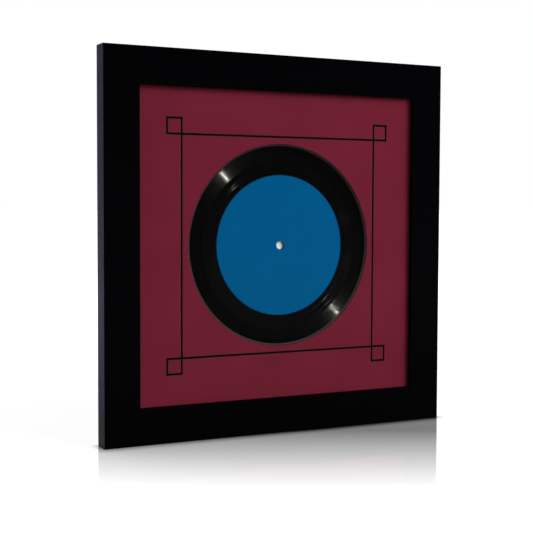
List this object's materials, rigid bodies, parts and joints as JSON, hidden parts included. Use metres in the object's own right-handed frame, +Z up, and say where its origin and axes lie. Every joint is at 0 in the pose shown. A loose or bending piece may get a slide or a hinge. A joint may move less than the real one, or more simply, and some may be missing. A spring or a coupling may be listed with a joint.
{
  "type": "vinyl record frame",
  "caption": "Square black frame that shows a seven-inch record: mitred moulding, clear glazing, grooved red mat with a round opening, boards behind and turn buttons at the back.",
  "frame": {"origin": "under the middle of the bounding box, on the surface that the frame stands on", "axes": "-Y is the way the front faces, +X is the right as seen from the front, +Z is up"},
  "size_m": [0.3174, 0.0208, 0.3175],
  "materials": {
    "frame_lacquer": "satin black lacquer",
    "nail_steel": "bright steel",
    "glazing": "clear, low reflection",
    "mat_paper": "matte burgundy face over a black core",
    "white_board": "matte white",
    "black_vinyl": "gloss, finely grooved",
    "label_paper": "satin blue paper",
    "foam_board": "matte white",
    "hardboard": "smooth brown hardboard",
    "button_steel": "zinc-plated steel",
    "screw_zinc": "zinc-plated steel",
    "hanger_brass_plate": "brass-plated steel",
    "bumper_rubber": "matte black rubber"
  },
  "bodies": {
    "frame": {"rail_top": "frame_lacquer", "rail_bottom": "frame_lacquer", "rail_left": "frame_lacquer", "rail_right": "frame_lacquer", "v_nail_bottom_left_inner": "nail_steel", "v_nail_bottom_left_outer": "nail_steel", "v_nail_top_left_inner": "nail_steel", "v_nail_top_left_outer": "nail_steel", "v_nail_top_right_inner": "nail_steel", "v_nail_top_right_outer": "nail_steel", "v_nail_bottom_right_inner": "nail_steel", "v_nail_bottom_right_outer": "nail_steel", "glazing": "glazing", "mat_board": "mat_paper", "record_tray": "white_board", "record": "black_vinyl", "label_front": "label_paper", "label_rear": "label_paper", "mount_board": "white_board", "foam_filler": "foam_board", "backing_board": "hardboard", "screw_top_left": "screw_zinc", "screw_top_right": "screw_zinc", "screw_bottom_left": "screw_zinc", "screw_bottom_right": "screw_zinc", "screw_left": "screw_zinc", "screw_right": "screw_zinc", "sawtooth_hanger": "hanger_brass_plate", "hanger_nail_left": "nail_steel", "hanger_nail_right": "nail_steel", "bumper_left": "bumper_rubber", "bumper_right": "bumper_rubber"},
    "turn_top_left": {"button_top_left": "button_steel"},
    "turn_top_right": {"button_top_right": "button_steel"},
    "turn_bottom_left": {"button_bottom_left": "button_steel"},
    "turn_bottom_right": {"button_bottom_right": "button_steel"},
    "turn_left": {"button_left": "button_steel"},
    "turn_right": {"button_right": "button_steel"}
  },
  "joints": [
    {"name": "turn_top_left_pivot", "type": "hinge", "parent": "frame", "child": "turn_top_left", "pos_m": [-0.07, 0.00685, 0.3007], "axis": [0, 1, 0], "continuous": true},
    {"name": "turn_top_right_pivot", "type": "hinge", "parent": "frame", "child": "turn_top_right", "pos_m": [0.07, 0.00685, 0.3007], "axis": [0, 1, 0], "continuous": true},
    {"name": "turn_bottom_left_pivot", "type": "hinge", "parent": "frame", "child": "turn_bottom_left", "pos_m": [-0.07, 0.00685, 0.0168], "axis": [0, 1, 0], "continuous": true},
    {"name": "turn_bottom_right_pivot", "type": "hinge", "parent": "frame", "child": "turn_bottom_right", "pos_m": [0.07, 0.00685, 0.0168], "axis": [0, 1, 0], "continuous": true},
    {"name": "turn_left_pivot", "type": "hinge", "parent": "frame", "child": "turn_left", "pos_m": [-0.14195, 0.00685, 0.15875], "axis": [0, 1, 0], "continuous": true},
    {"name": "turn_right_pivot", "type": "hinge", "parent": "frame", "child": "turn_right", "pos_m": [0.14195, 0.00685, 0.15875], "axis": [0, 1, 0], "continuous": true}
  ]
}
